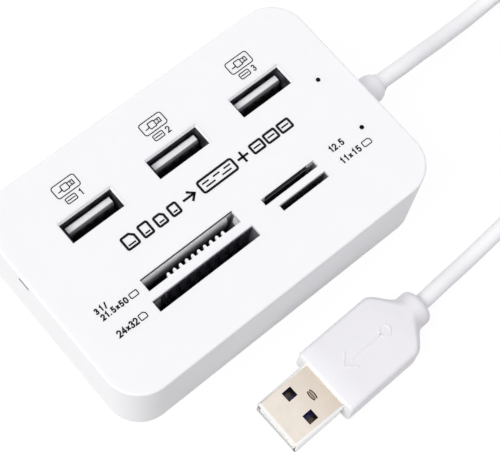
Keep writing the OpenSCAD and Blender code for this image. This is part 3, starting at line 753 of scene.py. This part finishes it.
NODE_MATERIALS = {
    "top_cover": "housing_white",
    "bottom_cover": "housing_white",
    "rubber_feet": "foot_rubber",
    "cover_screws": "screw_steel",
    "main_board": "board_green",
    "wide_card_socket": "socket_black",
    "narrow_card_socket": "socket_black",
    "wide_socket_shield": "shield_steel",
    "narrow_socket_shield": "shield_steel",
    "full_card_contacts": "contact_shaded_plastic",
    "stick_card_contacts": "contact_painted_shade",
    "small_card_contacts": "contact_shaded_plastic",
    "short_stick_contacts": "contact_painted_shade",
    "hub_chip": "chip_black",
    "reader_chip": "chip_black",
    "crystal": "crystal_can",
    "capacitors": "capacitor_sleeve",
    "chip_resistors": "resistor_body",
    "power_led": "led_clear",
    "activity_led": "led_clear",
    "lead_wires": "wire_sleeve",
    "strain_relief": "gland_white",
    "plug_grip": "grip_white",
    "plug_tube": "plug_nickel",
    "plug_insert": "plug_navy",
    "plug_contacts": "contact_painted_shade",
}
for number in (1, 2, 3):
    NODE_MATERIALS[f"port_shell_{number}"] = "port_steel"
    NODE_MATERIALS[f"port_insert_{number}"] = "tongue_white"
    NODE_MATERIALS[f"port_contacts_{number}"] = "contact_painted_shade"


def dress_nodes():
    for name, finish in NODE_MATERIALS.items():
        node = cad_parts[name]
        node.data.materials.clear()
        node.data.materials.append(materials[finish])


dress_nodes()


# Tie: a flat band round the coil's bundle, with its two ends twisted together on top


def make_mesh(name, verts, faces, material, smooth=True):
    mesh = bpy.data.meshes.new(name)
    mesh.from_pydata([tuple(c * MM for c in v) for v in verts], [], faces)
    mesh.update()
    for face in mesh.polygons:
        face.use_smooth = smooth
    obj = bpy.data.objects.new(name, mesh)
    bpy.context.scene.collection.objects.link(obj)
    mesh.materials.append(material)
    return obj


def add_loft(verts, faces, rings, closed=False):
    """Skin through rings of like count; open lofts get an end face at each end."""
    base = len(verts)
    m = len(rings[0])
    n = len(rings)
    for ring in rings:
        verts.extend(ring)
    for i in range(n if closed else n - 1):
        j = (i + 1) % n
        for k in range(m):
            q = (k + 1) % m
            faces.append((base + i * m + k, base + i * m + q, base + j * m + q, base + j * m + k))
    if not closed:
        faces.append(tuple(base + k for k in reversed(range(m))))
        faces.append(tuple(base + (n - 1) * m + k for k in range(m)))


def bundle_outline(grow, steps=8):
    """Outline of the bundle of two by two leads, about its middle, grown outwards."""
    r = CORD_R + grow
    made = []
    for quarter, (x, z) in enumerate([(CORD_R, CORD_R), (-CORD_R, CORD_R),
                                      (-CORD_R, -CORD_R), (CORD_R, -CORD_R)]):
        for k in range(steps + 1):
            a = math.radians(90 * quarter + 90 * k / steps)
            made.append((x + r * math.cos(a), z + r * math.sin(a)))
    return made


def coil_place(radius, degrees, z):
    a = math.radians(degrees)
    return (COIL_X + radius * math.cos(a), COIL_Y + radius * math.sin(a), z)


def make_tie():
    verts, faces = [], []
    middle_z = TIE_T + CORD_D
    gap = 0.02
    inner, outer = bundle_outline(gap), bundle_outline(TIE_T)
    half = TIE_DEGREES / 2
    rings = []
    for (xi, zi), (xo, zo) in zip(inner, outer):
        ring = []
        for x, z, share in ((xi, zi, -1), (xi, zi, 1), (xo, zo, 0.9), (xo, zo, -0.9)):
            ring.append(coil_place(COIL_R + x, half * share, middle_z + z))
        rings.append(ring)
    add_loft(verts, faces, rings, closed=True)

    # Two flat ends wound round each other, lying on top of the bundle beside the band
    strand_r, away, length, pitch = 0.42, 0.36, 11.0, 3.6
    steps, sides = 90, 10
    turn = math.radians(-half - 12)
    along = Vector((math.sin(turn), -math.cos(turn), 0))
    across = Vector((math.cos(turn), math.sin(turn), 0))
    up = Vector((0, 0, 1))
    start = (Vector((COIL_X, COIL_Y, TIE_T + 2 * CORD_D + TAIL_R))
             + across * (COIL_R - 0.5) - along * 4.6)
    for strand in (0, 1):
        rings = []
        for i in range(steps + 1):
            s = length * i / steps
            spin = math.tau * s / pitch + math.pi * strand
            out = across * math.cos(spin) + up * math.sin(spin)
            centre = start + along * s + out * away
            ring = []
            for k in range(sides):
                b = math.tau * k / sides
                flat = 0.62 + 0.38 * abs(math.cos(b))
                ring.append(tuple(centre + strand_r * flat
                                  * (out * math.sin(b) + along.cross(out) * math.cos(b))))
            rings.append(ring)
        add_loft(verts, faces, rings)
    obj = make_mesh("tie", verts, faces, materials["tie_white"])
    obj.data.set_sharp_from_angle(angle=math.radians(50))
    return obj


tie = make_tie()
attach(tie, "root")
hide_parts("cord_tie")


# Grip: a smooth loft, with pockets for the metal tube and for the lead, and a raised pointer


def grip_stations():
    """Place along the grip, half width, half height and corner radius."""
    half_w, half_h, neck, rim = 8.0, 4.0, 4.0, 1.4
    shoulder_u, neck_u, bend, edge = 18.2, 24.4, 1.06, 1.0
    made = [(0.0, half_w - 0.35, half_h - 0.3, edge), (0.12, half_w - 0.12, half_h - 0.1, edge),
            (0.35, half_w, half_h, edge)]
    made += [(0.35 + (shoulder_u - 0.35) * k / 4, half_w, half_h, edge) for k in range(1, 5)]
    for k in range(1, 25):
        share = k / 24
        made.append((shoulder_u + (neck_u - shoulder_u) * share,
                     neck + (half_w - neck) * (1 + math.cos(math.pi * share ** bend)) / 2,
                     half_h, edge + (half_h - edge) * share))
    made.append((GRIP_L - rim - 0.6, neck, half_h, half_h))
    for k in range(10):
        a = math.radians(10 * k)
        made.append((GRIP_L - rim + rim * math.sin(a), neck - rim + rim * math.cos(a),
                     half_h - rim + rim * math.cos(a), half_h))
    return made


def rounded_ring(u, half_w, half_h, radius, steps=8):
    r = min(radius, min(half_w, half_h) - 0.02)
    ring = []
    for quarter, (sy, sz) in enumerate([(1, 1), (-1, 1), (-1, -1), (1, -1)]):
        for k in range(steps + 1):
            a = math.radians(90 * quarter + 90 * k / steps)
            ring.append(plug_place(u, sy * (half_w - r) + r * math.cos(a),
                                   GRIP_Z + sz * (half_h - r) + r * math.sin(a)))
    return ring


def plug_place(u, v, z):
    """A point given along, across and above the plug's axis, in model millimetres."""
    c, s = math.cos(PLUG_TURN), math.sin(PLUG_TURN)
    return (PLUG_X + u * c - v * s, PLUG_Y + u * s + v * c, z)


def join_rings(faces, first, second, count):
    for k in range(count):
        q = (k + 1) % count
        faces.append((first + k, first + q, second + q, second + k))


def add_pointer(verts, faces):
    """Plain pointer raised on the grip's top face: arrow head, bar and ring."""
    heights = (2 * GRIP_Z - 0.2, 2 * GRIP_Z + 0.13)
    width, bevel = 0.6, 0.16
    ring_u, ring_r, steps = 16.6, 1.22, 32
    ring = [(ring_u + ring_r * math.cos(math.tau * k / steps),
             ring_r * math.sin(math.tau * k / steps)) for k in range(steps)]
    for points, closed in (([(7.1, 1.9), (4.9, 0.0), (7.1, -1.9)], False),
                           ([(7.4, 0.0), (15.2, 0.0)], False), (ring, True)):
        ribbon(verts, faces, points, width, closed, heights, bevel, plug_place)


def make_grip():
    verts, faces = [], []
    steps = 8
    count = 4 * (steps + 1)
    starts = []
    tube_w, tube_h, tube_r, tube_back = 6.0, 2.25, 0.7, 5.7
    stations = grip_stations()
    # The front pocket's inside, from its back wall to the front face, comes first
    rings = [rounded_ring(tube_back, tube_w * 0.02, tube_h * 0.02, 0.01, steps),
             rounded_ring(tube_back, tube_w + 0.01, tube_h + 0.01, tube_r, steps),
             rounded_ring(0.0, tube_w + 0.01, tube_h + 0.01, tube_r, steps)]
    rings += [rounded_ring(*station, steps) for station in stations]
    # The lead's pocket closes the far end
    rings += [rounded_ring(GRIP_L, CORD_R + 0.12, CORD_R + 0.12, CORD_R, steps),
              rounded_ring(GRIP_L - 0.15, CORD_R + 0.01, CORD_R + 0.01, CORD_R, steps),
              rounded_ring(GRIP_L - CORD_POCKET, CORD_R + 0.01, CORD_R + 0.01, CORD_R, steps),
              rounded_ring(GRIP_L - CORD_POCKET, 0.03, 0.03, 0.01, steps)]
    for ring in rings:
        starts.append(len(verts))
        verts.extend(ring)
    for first, second in zip(starts, starts[1:]):
        join_rings(faces, first, second, count)
    faces.append(tuple(range(starts[0], starts[0] + count))[::-1])
    faces.append(tuple(range(starts[-1], starts[-1] + count)))
    add_pointer(verts, faces)
    obj = make_mesh("grip", verts, faces, materials["grip_white"])
    obj.data.set_sharp_from_angle(angle=math.radians(40))
    return obj


# Openings: a bevel at two edges of each port, and the sprung leaves of the stick slots


def bar(verts, faces, outline, axis, start, end):
    """Solid bar of one outline along X or Y. The outline holds (across, height) pairs."""
    rings = []
    for place in (start, end):
        rings.append([(place, a, z) if axis == "X" else (a, place, z) for a, z in outline])
    add_loft(verts, faces, rings)


def make_port_bevels():
    """Small bevels along the back and right edge of each port's opening."""
    verts, faces = [], []
    reach, sunk, lip = 0.38, 0.05, 0.1
    long, wide = PORT_SIZE
    for x in PORT_X:
        for axis, edge, start, end in (("X", PORT_Y + wide / 2, x - long / 2, x + long / 2),
                                       ("Y", x + long / 2, PORT_Y - wide / 2, PORT_Y + wide / 2)):
            outline = [(edge + sunk, TOP_Z - sunk), (edge, TOP_Z), (edge - reach, TOP_Z - reach),
                       (edge - reach, TOP_Z - reach - lip), (edge + sunk, TOP_Z - 2 * reach)]
            bar(verts, faces, outline, axis, start, end)
    return make_mesh("port_bevels", verts, faces, materials["housing_white"], False)


def make_leaf(name, finish, slot, gap, bow, start, end):
    """Sprung leaf along a slot's back edge: it leaves the shield, bows out and goes back."""
    verts, faces = [], []
    edge = slot[1] + slot[3] / 2
    face = [(edge - gap - bow * share, z) for share, z in LEAF_SECTION]
    face.append((edge + LEAF_FOOT[0], LEAF_FOOT[1]))
    outline = face + [(y + LEAF_SHEET, z) for y, z in reversed(face)]
    bar(verts, faces, outline, "X", start, end)
    obj = make_mesh(name, verts, faces, materials[finish])
    obj.data.set_sharp_from_angle(angle=math.radians(50))
    return obj


port_bevels = make_port_bevels()
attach(port_bevels, "root")
for leaf in (make_leaf("stick_leaf", "leaf_steel", STICK_SLOT, 0.26, 0.5, -22.5, -0.8),
             make_leaf("short_leaf", "leaf_painted_shade", SHORT_SLOT, 0.14, 0.22, 7.9, 18.9)):
    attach(leaf, "root")


# Print on the top face: plain pictograms and plain numbers in black ink


def ribbon(verts, faces, points, width, closed=False, heights=INK_Z, bevel=0.0,
           put=lambda x, y, z: (x, y, z)):
    """Solid line through points, with mitred corners. bevel narrows its top, put places a point."""
    p = [Vector(q) for q in points]
    n = len(p)
    half = width / 2
    base = len(verts)
    for i in range(n):
        before = p[i] - p[i - 1] if (i > 0 or closed) else p[1] - p[0]
        after = p[(i + 1) % n] - p[i] if (i < n - 1 or closed) else before
        before, after = before.normalized(), after.normalized()
        side_a = Vector((-before.y, before.x))
        side_b = Vector((-after.y, after.x))
        mitre = (side_a + side_b).normalized()
        reach = 1 / max(mitre.dot(side_a), MITRE_LIMIT)
        end = Vector((0, 0))
        if not closed and i == 0:
            end = -after * half * END_REACH
        if not closed and i == n - 1:
            end = before * half * END_REACH
        for sign in (1, -1):
            for z, wide in zip(heights, (half, half - bevel)):
                q = p[i] + mitre * reach * wide * sign + end
                verts.append(put(q.x, q.y, z))
    for i in range(n if closed else n - 1):
        a, b = base + 4 * i, base + 4 * ((i + 1) % n)
        faces.append((a + 1, a + 3, b + 3, b + 1))
        faces.append((a, b, b + 2, a + 2))
        faces.append((a, a + 1, b + 1, b))
        faces.append((a + 2, b + 2, b + 3, a + 3))
    if not closed:
        a, b = base, base + 4 * (n - 1)
        faces.append((a, a + 2, a + 3, a + 1))
        faces.append((b, b + 1, b + 3, b + 2))


def arc(x, y, r, start, end, steps=8):
    return [(x + r * math.cos(math.radians(start + (end - start) * k / steps)),
             y + r * math.sin(math.radians(start + (end - start) * k / steps)))
            for k in range(steps + 1)]


def rounded_outline(x0, y0, x1, y1, r, cut=0.0):
    """Card or frame outline. cut takes off its upper right corner."""
    made = arc(x0 + r, y0 + r, r, 180, 270, 5) + arc(x1 - r, y0 + r, r, 270, 360, 5)
    if cut:
        made += [(x1, y1 - cut), (x1 - cut, y1)]
    else:
        made += arc(x1 - r, y1 - r, r, 0, 90, 5)
    return made + arc(x0 + r, y1 - r, r, 90, 180, 5)


# Strokes of the plain signs, on a field one unit high, with the width of each sign
SIGNS = {
    "0": (0.62, [arc(0.31, 0.69, 0.31, 0, 180) + arc(0.31, 0.31, 0.31, 180, 360)
                 + [(0.62, 0.69)]]),
    "1": (0.34, [[(0.04, 0.78), (0.26, 1), (0.26, 0)]]),
    "2": (0.58, [arc(0.29, 0.71, 0.29, 170, -30) + [(0, 0), (0.6, 0)]]),
    "3": (0.56, [arc(0.27, 0.76, 0.24, 160, -80) + arc(0.27, 0.27, 0.27, 80, -160)]),
    "4": (0.62, [[(0.46, 0), (0.46, 1), (0, 0.3), (0.64, 0.3)]]),
    "5": (0.58, [[(0.54, 1), (0.08, 1), (0.05, 0.55)] + arc(0.27, 0.31, 0.31, 125, -150)]),
    "x": (0.48, [[(0, 0.1), (0.46, 0.64)], [(0, 0.64), (0.46, 0.1)]]),
    ".": (0.16, [[(0.05, 0.0), (0.05, 0.06)]]),
    "/": (0.4, [[(0, -0.05), (0.38, 1.05)]]),
}


def write(verts, faces, signs, x, y, height, width, line):
    """Signs from x to x + width on the base line y, spread evenly over that width."""
    widths = [SIGNS[c][0] for c in signs]
    wide = height * 0.9
    spare = width - wide * sum(widths)
    gap = spare / max(len(signs) - 1, 1)
    if len(signs) == 1:
        x += spare / 2
    for c, w in zip(signs, widths):
        for stroke in SIGNS[c][1]:
            closed = stroke[0] == stroke[-1]
            points = stroke[:-1] if closed else stroke
            ribbon(verts, faces, [(x + px * wide, y + py * height) for px, py in points],
                   line, closed)
        x += wide * w + gap


def plug_sign(verts, faces, x, y, line):
    """A plug seen flat: lead, grip and metal end with two holes."""
    ribbon(verts, faces, [(x - 2.0, y - 0.28), (x - 1.35, y - 0.28), (x - 1.0, y)], line)
    ribbon(verts, faces, rounded_outline(x - 1.0, y - 0.72, x + 0.55, y + 0.72, 0.2), line, True)
    ribbon(verts, faces, [(x + 0.55, y - 0.48), (x + 1.85, y - 0.48), (x + 1.85, y + 0.48),
                          (x + 0.55, y + 0.48)], line)
    for side in (-0.2, 0.2):
        ribbon(verts, faces, [(x + 1.15, y + side), (x + 1.4, y + side)], line)


def card_sign(verts, faces, x0, y0, x1, y1, cut, line, fine=0.0):
    """A card's outline. fine is the width of the bar across it, its label."""
    ribbon(verts, faces, rounded_outline(x0, y0, x1, y1, min(0.3, (y1 - y0) * 0.18), cut),
           line, True)
    if fine:
        inset = line / 2 + fine
        y = y0 + line / 2 + 1.4 * fine
        ribbon(verts, faces, [(x0 + inset, y), (x1 - inset, y)], fine)


def port_sign(verts, faces, x0, y0, x1, y1, line, fine):
    """A port's opening with its tongue."""
    ribbon(verts, faces, rounded_outline(x0, y0, x1, y1, 0.25), line, True)
    inset = line / 2 + fine
    middle = (y0 + y1) / 2
    ribbon(verts, faces, [(x0 + inset, middle), (x1 - inset, middle)], fine)


def make_port_marks():
    """Over each port: a plug in a frame, and below it the port's sign and its number."""
    verts, faces = [], []
    for number, (x, y) in enumerate(PORT_FRAMES, 1):
        ribbon(verts, faces, rounded_outline(x - 2.8, y - 1.47, x + 2.8, y + 1.47, 0.55),
               FRAME_LINE, True)
        plug_sign(verts, faces, x, y, FRAME_LINE)
        low = y - 3.45
        port_sign(verts, faces, x - 1.9, low, x + 0.5, low + 1.3, FRAME_LINE, FRAME_LINE)
        write(verts, faces, str(number), x + 1.1, low, 1.3, 1.2, NUMBER_LINE)
    return make_mesh("port_marks", verts, faces, materials["print_ink"], False)


def make_title_marks():
    """Row of signs between the ports and the slots: cards, an arrow, the hub, a plus and ports."""
    verts, faces = [], []
    middle = (TITLE_LOW + TITLE_HIGH) / 2
    for x0, x1, top, cut in TITLE_CARDS:
        card_sign(verts, faces, x0, TITLE_LOW, x1, top, cut, TITLE_LINE, TITLE_FINE)
    ribbon(verts, faces, [(-5.4, middle), (-2.6, middle)], TITLE_LINE)
    ribbon(verts, faces, [(-3.8, middle + 1.1), (-2.6, middle), (-3.8, middle - 1.1)], TITLE_LINE)
    ribbon(verts, faces, rounded_outline(-1.0, TITLE_LOW, 7.8, TITLE_HIGH, 0.5), TITLE_LINE, True)
    for x in (0.6, 3.4, 6.2):
        ribbon(verts, faces, [(x - 0.75, middle + 0.45), (x + 0.75, middle + 0.45)], TITLE_FINE)
    for x in (1.3, 5.5):
        ribbon(verts, faces, [(x - 1.1, middle - 0.45), (x + 1.1, middle - 0.45)], TITLE_FINE)
    ribbon(verts, faces, [(8.9, middle), (11.3, middle)], TITLE_LINE)
    ribbon(verts, faces, [(10.1, middle - 1.2), (10.1, middle + 1.2)], TITLE_LINE)
    for x in (12.5, 16.2, 19.9):
        port_sign(verts, faces, x, 0.4, x + 2.8, 2.5, TITLE_LINE, TITLE_FINE)
    return make_mesh("title_marks", verts, faces, materials["print_ink"], False)


def make_slot_marks():
    """Plain card sizes and card outlines beside the slots."""
    verts, faces = [], []
    for signs, x, y, height, width in SLOT_LABELS:
        write(verts, faces, signs, x, y, height, width, LABEL_LINE)
    for x0, y0, x1, y1, cut in SLOT_CARDS:
        card_sign(verts, faces, x0, y0, x1, y1, cut, FRAME_LINE)
    return make_mesh("slot_marks", verts, faces, materials["print_ink"], False)


for marks in (make_port_marks(), make_title_marks(), make_slot_marks()):
    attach(marks, "root")

grip = make_grip()
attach(grip, "root")
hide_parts("plug_grip")


# Lead

lead = make_curve("lead", lead_points(), CORD_R, materials["lead_white"])
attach(lead, "root")
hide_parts("cord_hub_end", "cord_coil", "cord_plug_end")


# Studio


def seen_directly(nodes, links):
    """1 for rays that the camera, metal or glass sends out, and 0 for others."""
    path = nodes.new("ShaderNodeLightPath")
    return largest(nodes, links, path.outputs["Is Camera Ray"], path.outputs["Is Glossy Ray"],
                   path.outputs["Is Transmission Ray"])


def make_world():
    """White where the camera, metal or glass sees it, and a plain level of light elsewhere."""
    world = bpy.data.worlds.new("studio")
    bpy.context.scene.world = world
    world.use_nodes = True
    nodes, links = world.node_tree.nodes, world.node_tree.links
    plain = nodes["Background"]
    plain.inputs["Color"].default_value = (1.0, 0.975, 1.03, 1)
    plain.inputs["Strength"].default_value = ROOM_LIGHT
    white = nodes.new("ShaderNodeBackground")
    white.inputs["Color"].default_value = (1, 1, 1, 1)
    white.inputs["Strength"].default_value = 1.0
    mix = nodes.new("ShaderNodeMixShader")
    links.new(seen_directly(nodes, links), mix.inputs["Fac"])
    links.new(plain.outputs[0], mix.inputs[1])
    links.new(white.outputs[0], mix.inputs[2])
    links.new(mix.outputs[0], nodes["World Output"].inputs["Surface"])


def make_floor():
    """Pale floor that keeps the object's shadow. What the camera sees of it is lifted to white."""
    mesh = bpy.data.meshes.new("floor")
    mesh.from_pydata([(x * FLOOR_HALF, y * FLOOR_HALF, 0)
                      for x, y in ((-1, -1), (1, -1), (1, 1), (-1, 1))], [], [(0, 1, 2, 3)])
    floor = bpy.data.objects.new("floor", mesh)
    bpy.context.scene.collection.objects.link(floor)
    material = bpy.data.materials.new("floor")
    material.use_nodes = True
    nodes, links = material.node_tree.nodes, material.node_tree.links
    nodes.clear()
    output = nodes.new("ShaderNodeOutputMaterial")
    paper = nodes.new("ShaderNodeBsdfDiffuse")
    paper.inputs["Color"].default_value = (FLOOR_PAINT, FLOOR_PAINT, FLOOR_PAINT, 1)
    glow = nodes.new("ShaderNodeEmission")
    glow.inputs["Strength"].default_value = FLOOR_GLOW
    mix = nodes.new("ShaderNodeMixShader")
    share = nodes.new("ShaderNodeMath")
    share.operation = "MULTIPLY"
    share.inputs[1].default_value = GLOW_SHARE
    links.new(seen_directly(nodes, links), share.inputs[0])
    links.new(share.outputs[0], mix.inputs["Fac"])
    links.new(paper.outputs[0], mix.inputs[1])
    links.new(glow.outputs[0], mix.inputs[2])
    links.new(mix.outputs[0], output.inputs["Surface"])
    mesh.materials.append(material)


def make_lamp(name, towards, energy, spread, colour):
    """Distant soft light from the side that towards points to."""
    data = bpy.data.lights.new(name, "SUN")
    data.energy = energy
    data.angle = math.radians(spread)
    data.color = colour
    lamp = bpy.data.objects.new(name, data)
    lamp.rotation_mode = "QUATERNION"
    lamp.rotation_quaternion = Vector(towards).to_track_quat("Z", "Y")
    bpy.context.scene.collection.objects.link(lamp)


make_world()
make_floor()
make_lamp("key", (-0.60, 0.12, 0.79), 1.42, 30, (1.0, 1.03, 0.97))
make_lamp("side", (-1.0, -0.05, 0.15), 0.6, 20, (1.0, 1.0, 1.0))
bpy.context.scene.view_settings.view_transform = "Standard"
